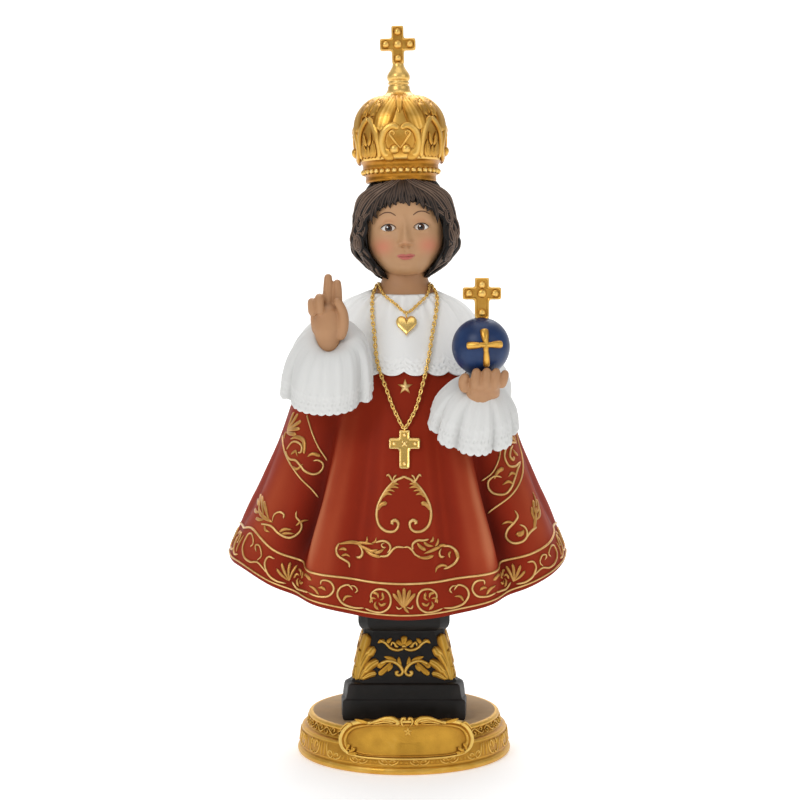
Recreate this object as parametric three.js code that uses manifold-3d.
// A painted cast-resin statuette of the crowned Child in a wide embroidered gown, blessing with one hand
// and holding an orb in the other. The figure stands on a black pedestal on a round gilt base. The crown
// and the orb are castings of their own, and two fine metal chains with pendants hang round the neck.
// Millimetres, +Z up, the front faces -Y, origin at the centre of the base's underside.
import * as THREE from 'three';
import { mergeVertices } from 'three/addons/utils/BufferGeometryUtils.js';
import Module from 'manifold-3d';

const wasm = await Module();
wasm.setup();

// Driving dimensions
const fitGap = 0.3; // clearance between castings that touch
const fineness = 0.22; // the least detail kept where solids are joined
const figureHeight = 180; // front hem to the top of the hair under the crown
const baseRadius = 44.4;
const baseHeight = 16.8;
const baseLedge = 10.4; // height of the step between the two ornament bands
const plaqueWidth = 58;
const plaqueHeight = 14.6;
const plaqueFoot = 7.8; // underside of the plaque above the ground
const plaqueRim = 1.2; // radius of the plaque's raised frame
const plinthWidth = 49.8;
const plinthDepth = 45;
const plinthHeight = 9.6;
const stepHeight = 7.1; // the step between the plinth and the die
const dieFootWidth = 41.6;
const dieHeight = 18.6;
const dieTopWidth = 32;
const shaftWidth = 36.8; // the pedestal's neck, up to its seat in the gown
const shaftHeight = 25.5;
const cornerClip = 4; // clipped corners of the step, the die and the shaft
const crownRimRadius = 14.4;
const crownWall = 1.6;
const crownRimHeight = 7;
const crownDomeRadius = 19.2;
const crownDomeHeight = 29;
const finialRadius = 4.6;
const finialHeight = 13;
const crownSeatDepth = 7; // how far the top of the hair reaches into the crown
const crownCrossWidth = 14.3;
const crownCrossHeight = 16.6;
const crossBar = 4.5; // width of the bars of the two crosses that stand up
const crossThickness = 3;
const studRadius = 1.5;
const orbRadius = 11.4;
const orbCrossWidth = 14.5;
const orbCrossHeight = 16.4;
const reliefWidth = 12.5; // the cross in relief on the orb's front
const reliefHeight = 15;
const reliefBar = 2.6;
const reliefRise = 0.8;
const chainRadius = 0.8;
const shortChainRadius = 0.65;
const chainSegment = 4.2;
const pendantCrossWidth = 11.8;
const pendantCrossHeight = 14.4;
const pendantBar = 4.1;
const pendantThickness = 1.8;
const heartWidth = 8.4;
const heartThickness = 2.2;
const bailRadius = 2; // the loop that hangs a pendant on its chain
const bailWire = 0.45;
const bailRise = 0.4; // the loop's centre above the chain's lowest bend

// The figure is carved on a scale of its own: 180 units from the front hem to the top of the hair.
const unit = figureHeight / 180;
const seatLevel = 14; // the pedestal's seat above the front hem, in units
const seatHalf = 24;

const upright = new THREE.Vector3(0, 0, 1);
const degrees = THREE.MathUtils.degToRad;
const smooth = THREE.MathUtils.smoothstep;
const mix = THREE.MathUtils.lerp;

// A smooth line through [at, value] pairs that rise in at.
function through(pairs, at) {
  const last = pairs.length - 1;
  if (at <= pairs[0][0]) return pairs[0][1];
  if (at >= pairs[last][0]) return pairs[last][1];
  const i = pairs.findIndex((_, k) => at <= pairs[k + 1][0]);
  const slope = (k) => {
    const [before, after] = [pairs[Math.max(k - 1, 0)], pairs[Math.min(k + 1, last)]];
    return (after[1] - before[1]) / (after[0] - before[0]);
  };
  const [[x0, y0], [x1, y1]] = [pairs[i], pairs[i + 1]];
  const t = (at - x0) / (x1 - x0);
  const leave = t * (1 - t) * (1 - t) * (x1 - x0) * slope(i);
  const arrive = t * t * (t - 1) * (x1 - x0) * slope(i + 1);
  return mix(y0, y1, t * t * (3 - 2 * t)) + leave + arrive;
}

// A closed surface with a point at each end: place(angle, step) gives the point of a step at an angle.
function closedSurface(around, steps, place) {
  const profile = Array.from({ length: steps + 1 }, (_, step) => new THREE.Vector2(1, step));
  const shape = new THREE.LatheGeometry(profile, around);
  const position = shape.getAttribute('position');
  const uv = shape.getAttribute('uv');
  for (let i = 0; i < position.count; i += 1) {
    const turn = Math.round(uv.getX(i) * around) % around;
    const point = place((turn / around) * 2 * Math.PI, Math.round(uv.getY(i) * steps));
    position.setXYZ(i, point.x, point.y, point.z);
  }
  return shape;
}

// Moves every point of a geometry to change(point).
function reshape(geometry, change) {
  const position = geometry.getAttribute('position');
  for (let i = 0; i < position.count; i += 1) {
    const moved = change(new THREE.Vector3().fromBufferAttribute(position, i));
    position.setXYZ(i, moved.x, moved.y, moved.z);
  }
  return geometry;
}

// A closed geometry as a solid for joining and cutting, facing out.
function solid(geometry) {
  const bare = geometry.clone();
  bare.deleteAttribute('normal');
  bare.deleteAttribute('uv');
  const merged = mergeVertices(bare, 1e-4);
  const index = merged.index.array;
  const at = merged.getAttribute('position');
  const corner = (i) => new THREE.Vector3().fromBufferAttribute(at, i);
  const faces = [];
  let volume = 0;
  for (let i = 0; i < index.length; i += 3) {
    const [p, q, r] = index.slice(i, i + 3);
    if (p !== q && q !== r && r !== p) faces.push([p, q, r]);
    volume += corner(p).dot(corner(q).cross(corner(r)));
  }
  const outward = volume < 0 ? faces.map(([p, q, r]) => [p, r, q]) : faces;
  const mesh = { numProp: 3, vertProperties: at.array, triVerts: Uint32Array.from(outward.flat()) };
  return new wasm.Manifold(new wasm.Mesh(mesh));
}

function joined(geometries) {
  return geometries.map(solid).reduce((whole, piece) => whole.add(piece));
}

// A solid as one body: specks where carved parts meet and slivers finer than fineness are left out.
function plainBody(made) {
  const bodies = made.simplify(fineness).decompose();
  return bodies.reduce((most, body) => (body.volume() > most.volume() ? body : most));
}

function namedMesh(name, made, color, roughness, metalness = 0) {
  const { vertProperties, triVerts } = plainBody(made).getMesh();
  const geometry = new THREE.BufferGeometry();
  geometry.setAttribute('position', new THREE.BufferAttribute(vertProperties, 3));
  geometry.setIndex(new THREE.BufferAttribute(triVerts, 1));
  geometry.computeVertexNormals();
  const mesh = new THREE.Mesh(geometry, new THREE.MeshStandardMaterial({ color, roughness, metalness }));
  mesh.name = name;
  return mesh;
}

// An egg-shaped lump with its own half sizes.
function lump([x, y, z], [halfX, halfY, halfZ], across = 8, up = 5) {
  const shape = new THREE.SphereGeometry(1, across, up).rotateX(Math.PI / 2);
  return shape.scale(halfX, halfY, halfZ).translate(x, y, z);
}

// A round-ended limb from one point to another, with a radius at each end.
function limb(from, to, fromRadius, toRadius, sides = 5) {
  const [start, end] = [new THREE.Vector3(...from), new THREE.Vector3(...to)];
  const length = start.distanceTo(end);
  const shape = reshape(new THREE.CapsuleGeometry(1, 1, sides > 5 ? 1 : 2, sides), (p) => {
    const [radius, centre, cap] = p.y < 0 ? [fromRadius, 0, p.y + 0.5] : [toRadius, length, p.y - 0.5];
    return new THREE.Vector3(p.x * radius, centre + cap * radius, p.z * radius);
  });
  const turn = new THREE.Quaternion();
  turn.setFromUnitVectors(new THREE.Vector3(0, 1, 0), end.sub(start).normalize());
  return shape.applyQuaternion(turn).translate(...from);
}

// Base: a round casting in two ornament bands over a rounded foot, with a framed blank plaque in front.
const baseProfile = [ // inset from the radius, height
  [0.7, 0], [0, 1.3], [0.2, 3.4], [1, 4.6], [2.2, baseLedge], [3.8, baseLedge + 0.5],
  [4.6, baseHeight - 1.2], [5.8, baseHeight],
];

function onBase(angle, inset, height) {
  const radius = baseRadius - inset;
  return new THREE.Vector3(radius * Math.sin(angle), -radius * Math.cos(angle), height);
}

function baseBody() {
  const last = baseProfile.length + 1;
  return closedSurface(32, last, (angle, step) => {
    if (step === 0) return new THREE.Vector3(0, 0, 0);
    if (step === last) return new THREE.Vector3(0, 0, baseHeight);
    return onBase(angle, ...baseProfile[step - 1]);
  });
}

// A point of the plaque, bent round the front of the base: across from -1 to 1, up from -1 to 1.
function onPlaque(across, up, lift) {
  const half = (plaqueHeight / 2) * (1 - Math.min(Math.abs(across), 1) ** 3.2) ** 0.45;
  const height = plaqueFoot + plaqueHeight / 2 + up * half;
  const lean = 3 * (height / baseHeight) - 1; // the plaque leans back with the base
  return onBase((across * plaqueWidth) / 2 / baseRadius, lean - lift, height);
}

function plaque() {
  const slab = new THREE.BoxGeometry(2, 2, 1, 12, 1, 1);
  return reshape(slab, (p) => onPlaque(p.x * 0.985, p.y, (p.z - 0.5) * 4 + 0.4));
}

function plaqueFrame() {
  const count = 32;
  const stops = Array.from({ length: count }, (_, i) => {
    const turn = (i / count) * 2 * Math.PI;
    const across = Math.sign(Math.cos(turn)) * Math.abs(Math.cos(turn)) ** 0.6;
    const crest = Math.sin(turn) > 0 ? 0.9 * Math.cos(across * 9) : 0; // the scrolled upper edge
    const point = onPlaque(across * 0.97, Math.sign(Math.sin(turn)), 0.4);
    return point.setZ(point.z + crest);
  });
  return new THREE.TubeGeometry(new THREE.CatmullRomCurve3(stops, true), 26, plaqueRim, 4, true);
}

function makeBase() {
  return namedMesh('base', joined([baseBody(), plaque(), plaqueFrame()]), 0xb98a2e, 0.45, 0.6);
}

// Pedestal: a clipped-corner plinth and step, a tapering die with gilt corner leaves, and a plain neck.
const pedestalFoot = baseHeight + fitGap;
const stepFoot = pedestalFoot + plinthHeight;
const dieFoot = stepFoot + stepHeight;
const dieTop = dieFoot + dieHeight;
const pedestalTop = dieTop + shaftHeight;
const depthShare = plinthDepth / plinthWidth;

// The die's half width at a share of its height: a hollow taper.
function dieHalf(share) {
  return mix(dieFootWidth, dieTopWidth, share ** 0.75) / 2;
}

const pedestalProfile = [ // half width, corner clip, height
  [plinthWidth / 2 - 0.5, 1, pedestalFoot], [plinthWidth / 2, 1.2, pedestalFoot + 0.7],
  [plinthWidth / 2, 1.2, stepFoot - 0.5], [plinthWidth / 2 - 0.6, 2.4, stepFoot],
  [plinthWidth / 2 - 0.7, cornerClip, stepFoot + 0.5], [plinthWidth / 2 - 1.6, cornerClip, dieFoot - 0.8],
  [dieHalf(0) + 0.4, cornerClip, dieFoot],
  ...[0.1, 0.5, 0.95].map((share) => [dieHalf(share), cornerClip, dieFoot + share * dieHeight]),
  [shaftWidth / 2 - 1, cornerClip, dieTop + 0.6], [shaftWidth / 2, cornerClip, dieTop + 2.6],
  [shaftWidth / 2, cornerClip, pedestalTop],
];

function pedestalBody() {
  const last = pedestalProfile.length + 1;
  return closedSurface(8, last, (angle, step) => {
    if (step === 0) return new THREE.Vector3(0, 0, pedestalFoot);
    if (step === last) return new THREE.Vector3(0, 0, pedestalTop);
    const [half, clip, height] = pedestalProfile[step - 1];
    const corner = Math.round((angle / Math.PI) * 4);
    const quarter = Math.floor(corner / 2);
    const [wide, deep] = quarter % 2 ? [half * depthShare, half] : [half, half * depthShare];
    const point = new THREE.Vector3(corner % 2 ? wide - clip : clip - wide, -deep, height);
    return point.applyAxisAngle(upright, (quarter * Math.PI) / 2);
  });
}

// One gilt leaf on a clipped corner: a flute up the corner and one fanned on to each face.
function cornerLeaf(turnX, turnY) {
  const onFace = (share, insetX, insetY) => {
    const half = dieHalf(share);
    return [turnX * (half - insetX), turnY * (half * depthShare - insetY), dieFoot + share * dieHeight];
  };
  const clip = cornerClip / 2;
  return [
    limb(onFace(0.06, clip, clip), onFace(0.84, clip, clip), 2.4, 2, 6),
    limb(onFace(0.1, clip + 1, 0), onFace(0.5, 7.4, -0.2), 1.6, 1.7, 6),
    limb(onFace(0.1, 0, clip + 1), onFace(0.5, -0.2, 7.4), 1.6, 1.7, 6),
  ];
}

function makePedestal() {
  const leaves = [-1, 1].flatMap((turnX) => [-1, 1].flatMap((turnY) => cornerLeaf(turnX, turnY)));
  return namedMesh('pedestal', joined([pedestalBody(), ...leaves]), 0x151515, 0.35);
}

// Gown: a bell of deep pipe folds whose hem sweeps up at the sides. Heights are above the front hem.
const gownTop = 128.5;
const halfWidths = [
  [0, 71.5], [14, 71], [20, 70], [30, 65.5], [44, 58.6], [54, 54.4], [65, 50], [76, 46.5], [86, 43.5],
  [94, 40.5], [106, 35.5], [114, 31.5], [120, 27], [124, 21.5], [126.5, 15.5], [gownTop, 10.5],
];
const frontDepths = [
  [0, 51.5], [15, 48.5], [30, 44.5], [44, 40.5], [65, 34.5], [76, 31], [94, 25.5], [106, 21.3], [114, 17.5],
  [120, 14.3], [124, 12], [gownTop, 10],
];
const backDepths = [
  [0, 48.5], [15, 46], [30, 42], [44, 38], [65, 32], [76, 28.5], [94, 24], [106, 20.8], [114, 18.4],
  [120, 16], [124, 13.8], [gownTop, 10.5],
];
const folds = [ // degrees from the front, spread, rise above the hem; the same on both sides
  [17, 5, -2], [27.5, 6.5, 6], [38, 5.5, -8.5], [57, 13, 4], [84, 8, -2], [104, 10, 4], [124, 9, -6],
  [143, 10, 4], [162, 9, -4], [180, 9, 3],
];
const foldsAtHem = 0.45; // how much of the folds is left at the hem, which is drawn out nearly round
const foldsFull = 26; // where they are full, above the hem

function hemLevel(angle) {
  return 16 * Math.abs(Math.sin(angle)) ** 1.85 + 1.2 * (1 - Math.cos(angle));
}

function foldAt(angle, height) {
  const turned = Math.abs(THREE.MathUtils.euclideanModulo(angle + Math.PI, 2 * Math.PI) - Math.PI);
  const away = THREE.MathUtils.radToDeg(turned);
  const rises = folds.map(([at, spread, most]) => most * Math.exp(-(((away - at) / spread) ** 2)));
  const deep = mix(foldsAtHem, 1, smooth(height - hemLevel(angle), 0, foldsFull));
  return rises.reduce((sum, rise) => sum + rise) * deep * (1 - smooth(height, 8, 104)) ** 0.9;
}

// A point of the gown's surface, moved out by lift. The right half is a little narrower than the left.
function onGown(angle, height, lift = 0) {
  const depth = through(Math.cos(angle) > 0 ? frontDepths : backDepths, height);
  const x = through(halfWidths, height) * Math.sin(angle) * (1 - 0.038 * Math.sin(angle));
  const y = -depth * Math.cos(angle);
  const reach = Math.hypot(x, y);
  const grown = (reach + foldAt(angle, height) + lift) / reach;
  return new THREE.Vector3(x * grown, y * grown, height);
}

// The same point lifted straight off the surface, for what lies on the gown.
function offGown(angle, height, lift) {
  const round = onGown(angle + 0.02, height).sub(onGown(angle - 0.02, height));
  const up = onGown(angle, height + 0.5).sub(onGown(angle, height - 0.5));
  return onGown(angle, height).addScaledVector(round.cross(up).normalize(), lift);
}

// The angle at which the front of the gown is x to one side, at a height.
function frontAngle(x, height) {
  const half = through(halfWidths, height);
  let angle = Math.asin(x / half);
  for (let round = 0; round < 6; round += 1) {
    angle += (x - onGown(angle, height).x) / half / Math.max(Math.cos(angle), 0.2);
  }
  return angle;
}

const hemWall = 3.4;
const hemSteps = [0, 12.2, 13, 13.8]; // up the embroidered band, with its cord at the third
const gownShares = [0.12, 0.26, 0.41, 0.56, 0.71, 0.84, 0.94, 1];

function gown() {
  const first = 3;
  const bandEnd = first + hemSteps.length;
  const last = bandEnd + gownShares.length;
  return closedSurface(48, last, (turn, step) => {
    const angle = turn - 0.38 * Math.sin(turn); // closer steps in front, where the pipes are tight
    const hem = hemLevel(angle);
    if (step === 0) return new THREE.Vector3(0, 0, seatLevel);
    if (step === 1) return new THREE.Vector3(0, -seatHalf, seatLevel).applyAxisAngle(upright, angle);
    if (step === 2) return onGown(angle, hem, -2 * hemWall).setZ(hem + hemWall);
    if (step === last) return new THREE.Vector3(0, 0, gownTop);
    if (step < bandEnd) return onGown(angle, hem + hemSteps[step - first], step === first + 2 ? 0.6 : 0);
    return onGown(angle, mix(hem + hemSteps[3], gownTop, gownShares[step - bandEnd]));
  });
}

// Yoke: the white lace collar over the shoulders, with a scalloped edge.
const yokeEdge = 94;
const yokeThickness = 1.1;
const scallops = 18;

function yoke() {
  const levels = [yokeEdge, 107, 119, 126.4];
  const last = levels.length + 2;
  return closedSurface(scallops * 2, last, (angle, step) => {
    const dip = Math.cos(angle * scallops) > 0 ? 0.5 : -1.2;
    if (step === 0) return new THREE.Vector3(0, 0, yokeEdge + 4);
    if (step === 1) return onGown(angle, yokeEdge + dip, -2);
    if (step === last) return new THREE.Vector3(0, 0, gownTop + 0.5);
    return onGown(angle, levels[step - 2] + (step === 2 ? dip : 0), yokeThickness);
  });
}

// A lace cuff: a gathered bell that hangs from the wrist, hollow underneath and lowest in front.
function cuff({ wrist, wristRadius, tilt, foot, halfX, halfY, dip, swell, early, gathers, phase }) {
  const rows = 4;
  const ring = (angle, share) => {
    const spread = Math.sin((Math.PI / 2) * share ** (swell - early * Math.sin(angle)));
    const gather = 1 + 0.06 * share * Math.cos(gathers * angle + phase);
    const edge = foot[2] - dip * Math.cos(angle);
    return new THREE.Vector3(
      mix(wrist[0], foot[0], share) + mix(wristRadius, halfX * gather, spread) * Math.sin(angle),
      mix(wrist[1], foot[1], share) - mix(wristRadius, halfY * gather, spread) * Math.cos(angle),
      mix(wrist[2] - tilt * Math.cos(angle), edge, share ** 1.25),
    );
  };
  return closedSurface(18, rows + 3, (angle, step) => {
    if (step === 0) return new THREE.Vector3(...wrist);
    if (step <= rows + 1) return ring(angle, (step - 1) / rows);
    const middle = new THREE.Vector3(foot[0], foot[1], foot[2] + 2.5);
    return step === rows + 3 ? middle : ring(angle, 1).lerp(middle, 0.12).add(new THREE.Vector3(0, 0, 2));
  });
}

const cuffs = [
  {
    wrist: [-29.5, -37, 110], wristRadius: 6.8, tilt: 5, foot: [-30.6, -33, 87], halfX: 18, halfY: 13.5,
    dip: 8, swell: 0.55, early: 0.15, gathers: 5, phase: 0.6,
  },
  {
    wrist: [30, -40, 91], wristRadius: 8.6, tilt: 5, foot: [27.2, -37.5, 75], halfX: 17.4, halfY: 12.5,
    dip: 11.5, swell: 0.9, early: -0.2, gathers: 5, phase: 2.2,
  },
];

function sleeves() {
  return [
    limb([-33, -1, 88], [-31, -30, 98], 9.5, 9, 8), limb([32, -1, 82], [30, -30, 81], 9.5, 9, 8),
  ];
}

// Blessing hand: palm to the front, two fingers up, two folded, and the thumb beside them.
function blessingHand() {
  const at = (x, y, z) => [x - 29.4, y - 38.5, z + 115.5];
  return [
    lump(at(0, 0, -1), [7.6, 4.4, 10.5], 9, 6),
    limb(at(-0.6, 1, -4), at(-0.6, 1, -15), 5.2, 5, 8),
    limb(at(-0.4, 0.4, 3), at(-0.4, 0.2, 16.9), 2, 1.6),
    limb(at(3, 0.3, 3), at(3.2, 0.2, 14.8), 2, 1.6),
    limb(at(-3.4, 0.3, 6), at(-3.2, -3.4, 8), 1.9, 1.7),
    limb(at(-3.2, -3.4, 8), at(-2.8, -4.4, 3.4), 1.7, 1.5),
    limb(at(-6, 0.6, 4), at(-5.8, -2.8, 6.6), 1.8, 1.6),
    limb(at(-5.8, -2.8, 6.6), at(-5.2, -4, 2.6), 1.6, 1.4),
    limb(at(5.6, -1, -3), at(4.6, -3.2, 4), 2.3, 1.9),
    limb(at(4.6, -3.2, 4), at(3.6, -4, 8.6), 1.9, 1.5),
  ];
}

// Orb hand: cupped under the orb, with the finger ends up in front of it.
const orbCentre = new THREE.Vector3(30.2, -40, 105.5);
const orbFingers = [ // tip as shares of the orb's reach: across, in front, up; and radius
  [-0.32, 0.36, -0.97, 1.9], [-0.16, 0.76, -0.66, 1.5], [0.13, 0.78, -0.63, 1.6], [0.4, 0.7, -0.63, 1.6],
  [0.65, 0.46, -0.69, 1.5],
];

function orbHand() {
  const reach = orbRadius / unit + 1;
  const at = (x, y, z) => orbCentre.clone().add(new THREE.Vector3(x, y, z)).toArray();
  const palm = -reach - 0.6;
  const fingers = orbFingers.map(([across, front, up, radius]) => {
    const tip = at(across * reach, -0.4 - front * reach, up * reach);
    return limb(at(across * reach * 0.75, -6, palm - 1), tip, radius + 0.4, radius);
  });
  const wrist = limb(at(-0.5, -2, palm - 1), at(-0.5, 4, palm - 10), 6.6, 6, 8);
  return [lump(at(0, -4.8, palm), [8.9, 6.2, 7.6], 9, 6), wrist, ...fingers];
}

// Head: a child's head on a short neck, under a bob of wavy hair. Levels are above the head's middle.
const headFrame = new THREE.Matrix4().makeRotationY(degrees(-2.2)).setPosition(0.3, -1, 154);
const crownFrame = new THREE.Matrix4().makeRotationY(degrees(-1.4)).setPosition(-1.2, -1, 171.5);
const faceWidths = [[-20.6, 3], [-19.4, 6.4], [-16.5, 9.6], [-11, 13.2], [-4, 15.4], [4, 15.8], [12, 14]];
const faceFronts = [[-20.6, 5], [-19.4, 10.4], [-16.5, 13.8], [-11, 15.6], [-4, 16.5], [4, 17.1], [12, 16]];
const faceBacks = [[-20.6, 2], [-11, 14], [-4, 16], [4, 16], [12, 13]];
const hairWidths = [
  [-20.6, 11.5], [-18, 15], [-14, 19], [-10, 21.2], [-6, 22.2], [-1, 21.4], [6, 20.2], [12, 18.4], [20, 12],
];
const hairDepths = [[-20.6, 12.5], [-17, 16.6], [-12, 19.2], [-3, 20.6], [6, 20.2], [12, 18.2], [20, 12]];

function headSlices(widths, fronts, backs, around, levels, waves) {
  const last = levels.length + 1;
  return closedSurface(around, last, (angle, step) => {
    const level = levels[THREE.MathUtils.clamp(step - 1, 0, last - 2)];
    if (step === 0 || step === last) return new THREE.Vector3(0, 0, level);
    const depth = through(Math.cos(angle) > 0 ? fronts : backs, level);
    const swell = 1 + waves * Math.cos(7 * angle + level * 0.35);
    return new THREE.Vector3(through(widths, level) * Math.sin(angle), -depth * Math.cos(angle), 0)
      .multiplyScalar(swell)
      .setZ(level);
  });
}

function face() {
  const levels = [-20.6, -19.4, -16.5, -11, -4, 4, 12];
  return [
    headSlices(faceWidths, faceFronts, faceBacks, 16, levels, 0),
    limb([0, -16.6, -1.5], [0, -18, -8], 1, 1.8), lump([0, -15.4, -12.6], [3.2, 1.6, 1], 6, 4),
    lump([0, -14.2, -17.4], [4, 2.6, 2.4], 6, 4),
  ];
}

function hair() {
  const levels = [-20.6, -17.5, -13.5, -8, -2, 5, 12, 20];
  const cap = solid(headSlices(hairWidths, hairDepths, hairDepths, 28, levels, 0.035));
  return cap.subtract(solid(lump([0.4, -22, -9.5], [18, 21, 18.8], 14, 8)));
}

// The pad of hair that the crown fits over, and all that the crown's rim needs clear.
function crownPad() {
  const radius = (crownRimRadius - crownWall - fitGap) / unit;
  const depth = crownSeatDepth / unit;
  const outline = [[0, -3], [radius, -3], [radius, depth - 2], [radius - 2.4, depth - 0.4], [0, depth]];
  return new THREE.LatheGeometry(outline.map(([r, z]) => new THREE.Vector2(r, z)), 18).rotateX(Math.PI / 2);
}

function crownRoom() {
  return new THREE.CylinderGeometry(28, 28, 20, 12).rotateX(Math.PI / 2).translate(0, 0, 10);
}

function makeFigure() {
  const body = joined([gown(), yoke(), ...sleeves(), ...cuffs.map(cuff), ...blessingHand(), ...orbHand()]);
  const neck = new THREE.CylinderGeometry(9, 9.6, 22, 16).rotateX(Math.PI / 2).translate(0.4, -0.6, 131);
  const head = joined(face()).add(hair()).transform(headFrame.toArray());
  const bareHead = head.subtract(solid(crownRoom()).transform(crownFrame.toArray()));
  const seatedHead = bareHead.add(solid(crownPad()).transform(crownFrame.toArray()));
  const orbRoom = new THREE.SphereGeometry((orbRadius + fitGap) / unit, 16, 10).rotateX(Math.PI / 2);
  orbRoom.translate(...orbCentre);
  const made = body.add(solid(neck)).add(seatedHead).subtract(solid(orbRoom));
  return namedMesh('figure', made.scale([unit, unit, unit]), 0x9b2a1e, 0.45);
}

// A Latin cross standing on its foot, with studs at its ends and its crossing.
function crossBody(width, height, bar, thickness, crossing) {
  const [half, arm] = [bar / 2, width / 2];
  const [low, high] = [height * crossing - half, height * crossing + half];
  const corners = [[half, 0], [half, low], [arm, low], [arm, high], [half, high], [half, height]];
  const mirrored = corners.map(([x, z]) => [-x, z]).reverse();
  const outline = new THREE.Shape([...corners, ...mirrored].map(([x, z]) => new THREE.Vector2(x, z)));
  const shape = new THREE.ExtrudeGeometry(outline, { depth: thickness, bevelEnabled: false });
  return shape.translate(0, 0, -thickness / 2).rotateX(Math.PI / 2);
}

function studdedCross(width, height, crossing) {
  const reach = width / 2 - crossBar * 0.45;
  const [foot, middle, head] = [crossBar * 0.6, height * crossing, height - crossBar * 0.4];
  const spots = [[0, middle], [-reach, middle], [reach, middle], [0, head], [0, foot]];
  const size = [studRadius, studRadius * 0.7, studRadius];
  const studs = spots.map(([x, z]) => lump([x, -crossThickness / 2, z], size, 5, 3));
  return [crossBody(width, height, crossBar, crossThickness, crossing), ...studs];
}

// Crown: a beaded rim, a lobed dome, a turned finial and a cross, cast hollow to fit over the hair.
const domeTop = crownRimHeight + crownDomeHeight;
const finialTop = domeTop + finialHeight;
const crownRings = [ // radius, height, lobe depth
  [crownRimRadius, 0, 0], [crownRimRadius + 0.2, 3, 0], [crownRimRadius + 1.8, 3.6, 0],
  [crownRimRadius + 1.2, crownRimHeight - 1, 0], [crownDomeRadius * 0.94, crownRimHeight + 2.6, 0.2],
  [crownDomeRadius, crownRimHeight + crownDomeHeight * 0.36, 0.6],
  [crownDomeRadius * 0.98, crownRimHeight + crownDomeHeight * 0.6, 0.6],
  [crownDomeRadius * 0.86, crownRimHeight + crownDomeHeight * 0.8, 0.5],
  [crownDomeRadius * 0.6, crownRimHeight + crownDomeHeight * 0.94, 0.5], [finialRadius + 1, domeTop + 0.8, 0],
  [finialRadius - 0.4, domeTop + 2.6, 0], [finialRadius, domeTop + 5, 0],
  [finialRadius - 0.8, domeTop + 9, 0], [crossBar / 2 + 0.3, finialTop, 0],
];

function crownBody() {
  const last = crownRings.length + 1;
  return closedSurface(24, last, (angle, step) => {
    if (step === 0) return new THREE.Vector3(0, 0, 0);
    if (step === last) return new THREE.Vector3(0, 0, finialTop);
    const [radius, height, lobe] = crownRings[step - 1];
    const reach = radius + lobe * Math.cos(6 * angle);
    return new THREE.Vector3(reach * Math.sin(angle), -reach * Math.cos(angle), height);
  });
}

function crownHollow() {
  const radius = crownRimRadius - crownWall;
  const corners = [
    [0, -1], [radius, -1], [radius, crownSeatDepth - 2 + fitGap], [radius - 2.4, crownSeatDepth + fitGap],
    [0, crownSeatDepth + 2 * fitGap],
  ];
  return new THREE.LatheGeometry(corners.map(([r, z]) => new THREE.Vector2(r, z)), 18).rotateX(Math.PI / 2);
}

function makeCrown() {
  const cross = studdedCross(crownCrossWidth, crownCrossHeight, 0.52);
  const made = joined([crownBody(), ...cross.map((piece) => piece.translate(0, 0, finialTop - 1))]);
  const crown = namedMesh('crown', made.subtract(solid(crownHollow())), 0xc9962f, 0.35, 0.8);
  crown.quaternion.setFromRotationMatrix(crownFrame);
  crown.position.setFromMatrixPosition(crownFrame).multiplyScalar(unit);
  crown.translateZ(fitGap);
  return crown;
}

// Orb: a blue globe with a cross in relief on its front and a studded cross on top.
function makeOrb() {
  const globe = new THREE.SphereGeometry(orbRadius, 16, 10).rotateX(Math.PI / 2);
  const relief = reshape(crossBody(reliefWidth, reliefHeight, reliefBar, 2, 0.6), (p) => {
    const out = orbRadius + (p.y < 0 ? reliefRise : -1);
    return new THREE.Vector3(p.x + 1.4, -orbRadius, p.z - reliefHeight * 0.44).setLength(out);
  });
  const cross = studdedCross(orbCrossWidth, orbCrossHeight, 0.64);
  const made = joined([globe, relief, ...cross.map((piece) => piece.translate(1, 0, orbRadius - 0.8))]);
  const orb = namedMesh('orb', made, 0x233a63, 0.3);
  orb.position.copy(orbCentre).multiplyScalar(unit);
  return orb;
}

// Chains: closed loops that lie on the yoke and the gown in front, and round the neck behind.
// A front stop is [x, height, how much farther off the gown than the rest]. A path starts at its lowest stop.
const longChainFront = [
  [-13.2, 124.2], [-12.6, 118.4], [-11.4, 109.5], [-10, 98], [-6.6, 88], [-3, 78.4, 0.4], [0.2, 73.2, 1],
  [3.4, 78, 0.4], [6.8, 89.3], [8.6, 98.8], [10.5, 109.8], [12, 118.2], [13, 124.2],
];
const shortChainFront = [[-6.4, 124.8], [-3.2, 121, 0.4], [0.9, 117, 1.1], [4.8, 120.6, 0.4], [7.6, 124.4]];

function chainPath(front, radius, neckRadius, neckLevel) {
  const stops = front.map(([x, height, extra = 0]) => {
    const overYoke = yokeThickness * smooth(height, yokeEdge - 9, yokeEdge - 3);
    return offGown(frontAngle(x, height), height, radius / unit + 0.75 + overYoke + extra);
  });
  const behind = [75, 110, 145, 180, 215, 250, 285].map((turn) => {
    const angle = degrees(turn);
    return new THREE.Vector3(neckRadius * Math.sin(angle), -neckRadius * Math.cos(angle), neckLevel);
  });
  const loop = [...stops, ...behind].map((stop) => stop.multiplyScalar(unit));
  const lowest = loop.indexOf(loop.reduce((low, stop) => (stop.z < low.z ? stop : low)));
  return new THREE.CatmullRomCurve3([...loop.slice(lowest), ...loop.slice(0, lowest)], true);
}

const longChainPath = chainPath(longChainFront, chainRadius, 12.4, 130);
const shortChainPath = chainPath(shortChainFront, shortChainRadius, 10.7, 131.2);

function makeChain(name, path, radius) {
  const segments = Math.round(path.getLength() / chainSegment);
  return namedMesh(name, solid(new THREE.TubeGeometry(path, segments, radius, 5, true)), 0xd9ae55, 0.25, 1);
}

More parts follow.
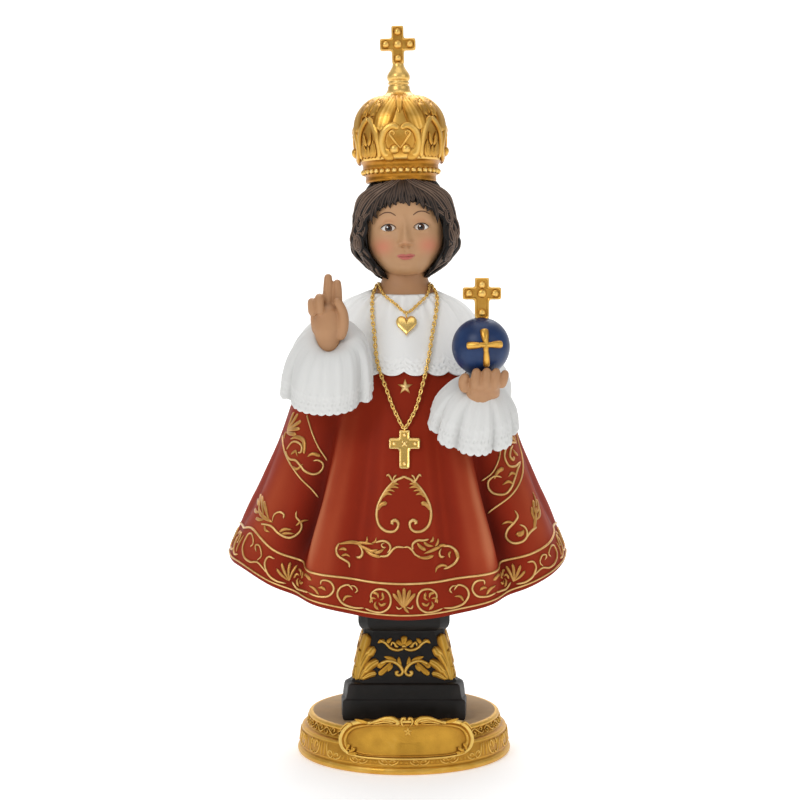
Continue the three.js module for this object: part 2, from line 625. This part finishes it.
// Hangs a pendant on the lowest bend of a chain, in line with the gown behind it.
function hung(pendant, path, x, drop) {
  const [bend] = path.points;
  const height = bend.z / unit;
  const levels = [height, height - drop / unit];
  const [high, low] = levels.map((level) => onGown(frontAngle(x, level), level));
  pendant.position.copy(bend);
  pendant.position.z += bailRise;
  pendant.rotation.x = Math.atan2(low.y - high.y, high.z - low.z);
  return pendant;
}

function bail() {
  return new THREE.TorusGeometry(bailRadius, bailWire, 4, 10).rotateY(Math.PI / 2);
}

function makeCrossPendant() {
  const cross = crossBody(pendantCrossWidth, pendantCrossHeight, pendantBar, pendantThickness, 0.64);
  cross.translate(0, 1, bailWire - bailRadius - pendantCrossHeight);
  const pendant = namedMesh('cross_pendant', joined([cross, bail()]), 0xc9a24c, 0.3, 1);
  return hung(pendant, longChainPath, 0, pendantCrossHeight);
}

function makeHeartPendant() {
  const half = heartWidth / 2;
  const outline = new THREE.Shape();
  outline.moveTo(0, -half * 1.05);
  outline.bezierCurveTo(half * 0.5, -half * 0.6, half, -half * 0.1, half, half * 0.4);
  outline.bezierCurveTo(half, half * 1.05, half * 0.2, half * 1.1, 0, half * 0.62);
  outline.bezierCurveTo(-half * 0.2, half * 1.1, -half, half * 1.05, -half, half * 0.4);
  outline.bezierCurveTo(-half, -half * 0.1, -half * 0.5, -half * 0.6, 0, -half * 1.05);
  const bevel = 0.7;
  const heart = new THREE.ExtrudeGeometry(outline, {
    depth: heartThickness - 2 * bevel, curveSegments: 4,
    bevelThickness: bevel, bevelSize: bevel, bevelOffset: -bevel, bevelSegments: 1,
  });
  heart.translate(0, 0, bevel - heartThickness / 2).rotateX(Math.PI / 2);
  heart.translate(0, 0.9, bailWire - bailRadius - half * 0.62);
  const pendant = namedMesh('heart_pendant', joined([heart, bail()]), 0xe2b24a, 0.2, 1);
  return hung(pendant, shortChainPath, 1, heartWidth);
}

// Assembly: the figure is seated on the pedestal, and all that the figure wears or holds goes with it.
const figureGroup = new THREE.Group();
figureGroup.position.z = pedestalTop + fitGap - seatLevel * unit;
figureGroup.add(makeFigure(), makeCrown(), makeOrb());
figureGroup.add(makeChain('long_chain', longChainPath, chainRadius), makeCrossPendant());
figureGroup.add(makeChain('short_chain', shortChainPath, shortChainRadius), makeHeartPendant());

const statue = new THREE.Group();
statue.add(makeBase(), makePedestal(), figureGroup);

export default statue;
